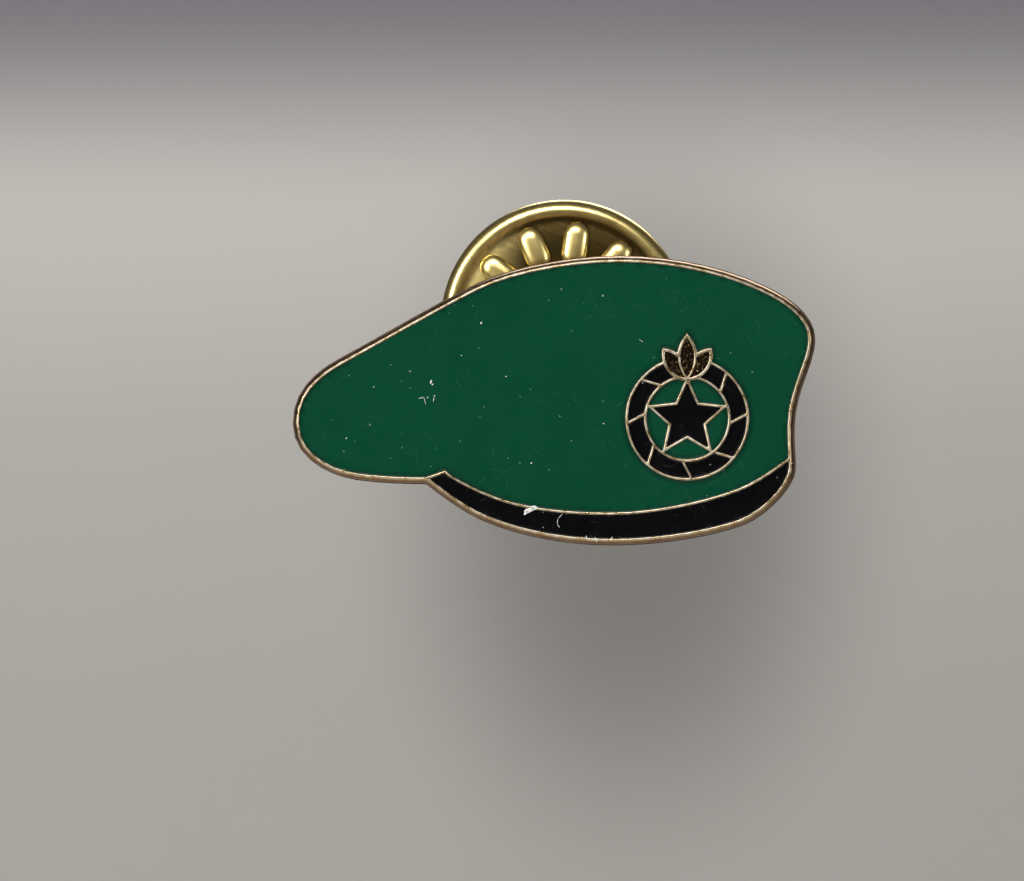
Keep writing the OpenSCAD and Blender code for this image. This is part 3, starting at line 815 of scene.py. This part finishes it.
class BADGE_OT_stage(BadgeOperator, bpy.types.Operator):
    """Set up the pale backdrop, the soft lights and the camera"""

    bl_idname = "badge.stage"
    bl_label = "Stage"

    WALL = 0.40                 # the backdrop stands behind every view's camera
    GROUND = -0.16
    SPAN = 0.9                  # the floor's side

    def execute(self, context):
        self.backdrop()
        self.lights()
        self.camera(context)
        view = context.scene.view_settings
        view.view_transform = "Standard"
        view.look = "None"
        return {"FINISHED"}

    def backdrop(self):
        """A floor that sweeps up into a wall."""
        bpy.ops.mesh.primitive_plane_add(size=self.SPAN, location=(0, self.WALL - self.SPAN / 2, self.GROUND))
        sweep = bpy.context.active_object
        sweep.name = "backdrop"
        edit(sweep)
        choose(sweep, "EDGE", lambda e: all(v.co.y > 0.4 for v in e.verts))
        bpy.ops.mesh.extrude_region_move(TRANSFORM_OT_translate={"value": (0, 0, 0.6)})
        choose(sweep, "EDGE", lambda e: len(e.link_faces) == 2)
        bpy.ops.mesh.bevel(offset=0.05, segments=16, affect="EDGES")
        only(sweep)
        bpy.ops.object.shade_smooth_by_angle(angle=math.radians(30))
        bpy.ops.object.transform_apply(location=True, rotation=True, scale=True)
        sweep.data.materials.append(card_with_painted_shade(self.colours.card))

    def softbox(self, name, place, width, height, watts):
        """An area light that faces the badge."""
        bpy.ops.object.light_add(type="AREA", location=place)
        lamp = bpy.context.active_object
        lamp.name = name
        lamp.data.shape = "RECTANGLE"
        lamp.data.size, lamp.data.size_y = width, height
        lamp.data.energy = watts
        aim = Vector((0, 0, -0.004)) - Vector(place)
        lamp.rotation_euler = aim.to_track_quat("-Z", "Y").to_euler()

    def lights(self):
        self.softbox("softbox_above", (-0.06, -0.33, 0.22), 0.20, 0.035, 0.95)
        self.softbox("softbox_below", (0.0, -0.30, -0.22), 0.16, 0.03, 0.35)
        self.softbox("softbox_left", (-0.26, -0.30, 0.07), 0.035, 0.16, 0.85)
        self.softbox("softbox_right", (0.30, -0.28, 0.04), 0.03, 0.12, 0.3)
        self.softbox("softbox_back", (0.05, 0.30, 0.26), 0.30, 0.16, 0.8)
        world = bpy.data.worlds.new("studio")
        bpy.context.scene.world = world
        world.use_nodes = True
        tree = world.node_tree
        grey = linear("B4B1AE")
        dim = tree.nodes["Background"]
        dim.inputs["Color"].default_value = (*grey, 1)
        dim.inputs["Strength"].default_value = 0.12
        # the room only lights the badge faintly, but is seen pale where the card ends
        pale = add(tree, "Background", {"Color": grey})
        seen = add(tree, "LightPath", [], "Is Camera Ray")
        mixed = add(tree, "MixShader", [seen, dim.outputs[0], pale])
        tree.links.new(mixed, tree.nodes["World Output"].inputs["Surface"])

    def camera(self, context):
        turn, width = self.sizes.camera_turn, self.sizes.view_width
        lens, sensor = 300.0, 36.0          # so long a lens that the badge is seen almost without perspective
        reach = width / 2 / (sensor / 2 / lens)
        aim = Vector((-2.27, FRONT, -5.66)) * MM    # left of the post and below it
        back = Vector((math.sin(turn), -math.cos(turn), 0))
        bpy.ops.object.camera_add(location=aim + back * reach)
        eye = bpy.context.active_object
        eye.rotation_euler = (-back).to_track_quat("-Z", "Y").to_euler()
        eye.data.lens, eye.data.sensor_width = lens, sensor
        eye.data.clip_start, eye.data.clip_end = 0.01, 20
        context.scene.camera = eye


class BADGE_PT_panel(bpy.types.Panel):
    """Lists the badge's operators and settings"""

    bl_idname = "BADGE_PT_panel"
    bl_label = "Enamel Badge"
    bl_space_type = "VIEW_3D"
    bl_region_type = "UI"
    bl_category = "Badge"

    def draw(self, context):
        for operator in OPERATORS:
            self.layout.operator(operator.bl_idname)
        for group in (context.scene.badge_sizes, context.scene.badge_colours):
            for name in type(group).__annotations__:
                self.layout.prop(group, name)


OPERATORS = (
    BADGE_OT_stage, BADGE_OT_blank, BADGE_OT_enamels, BADGE_OT_post, BADGE_OT_flecks,
    BADGE_OT_clutch_base, BADGE_OT_bridge, BADGE_OT_wings,
)
CLASSES = (BadgeSizes, BadgeColours, *OPERATORS, BADGE_PT_panel)


def register():
    for cls in CLASSES:
        bpy.utils.register_class(cls)
    bpy.types.Scene.badge_sizes = bpy.props.PointerProperty(type=BadgeSizes)
    bpy.types.Scene.badge_colours = bpy.props.PointerProperty(type=BadgeColours)


def unregister():
    del bpy.types.Scene.badge_colours
    del bpy.types.Scene.badge_sizes
    for cls in reversed(CLASSES):
        bpy.utils.unregister_class(cls)


def main():
    register()
    for operator in OPERATORS:
        group, name = operator.bl_idname.split(".")
        getattr(getattr(bpy.ops, group), name)()


if __name__ == "__main__":
    main()
